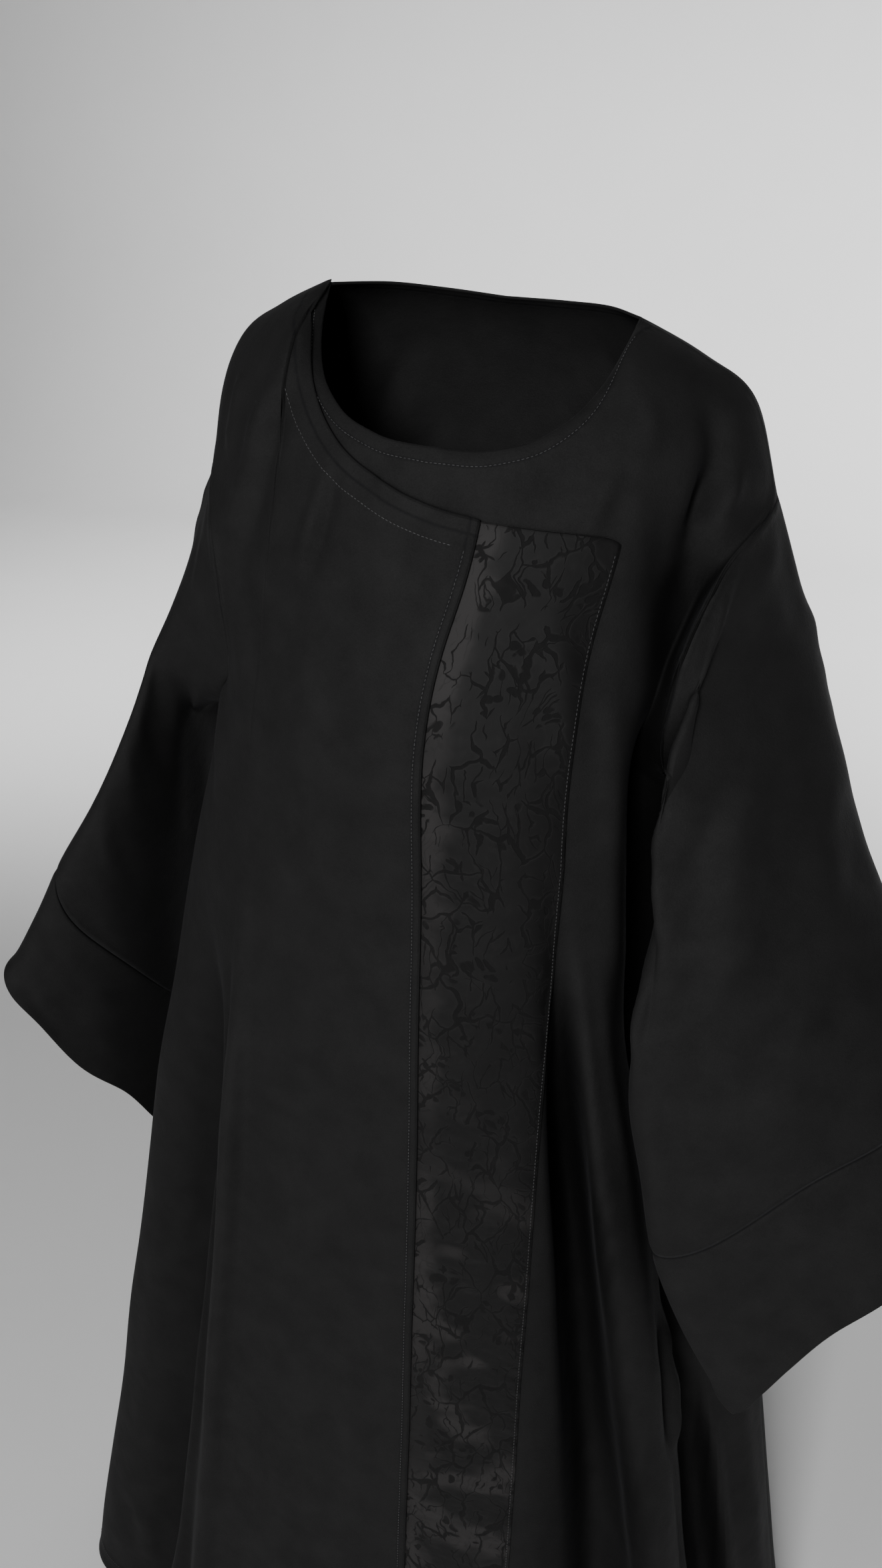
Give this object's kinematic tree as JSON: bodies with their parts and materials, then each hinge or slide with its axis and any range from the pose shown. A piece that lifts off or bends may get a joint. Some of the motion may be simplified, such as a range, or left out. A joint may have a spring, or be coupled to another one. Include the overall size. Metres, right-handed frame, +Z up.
{
  "type": "abaya",
  "caption": "Loose long black crepe abaya in its worn, hollow form, with an overlapping upper front, a jacquard front band and wide cuffed sleeves.",
  "frame": {"origin": "middle of the line between the two points where the shoulder seams meet the neckline, where the garment is held", "axes": "+Z up, -Y the front, +X the wearer's left"},
  "size_m": [0.919, 0.5534, 1.4428],
  "materials": {
    "black_crepe": "matte near-black crepe",
    "jacquard_satin": "satin jacquard, dark grey with darker branches"
  },
  "bodies": {
    "root": {"front_under": "black_crepe", "front_upper": "black_crepe", "front_band": "jacquard_satin", "back": "black_crepe", "sleeve_left": "black_crepe", "sleeve_right": "black_crepe", "cuff_left": "black_crepe", "cuff_right": "black_crepe"}
  },
  "joints": []
}
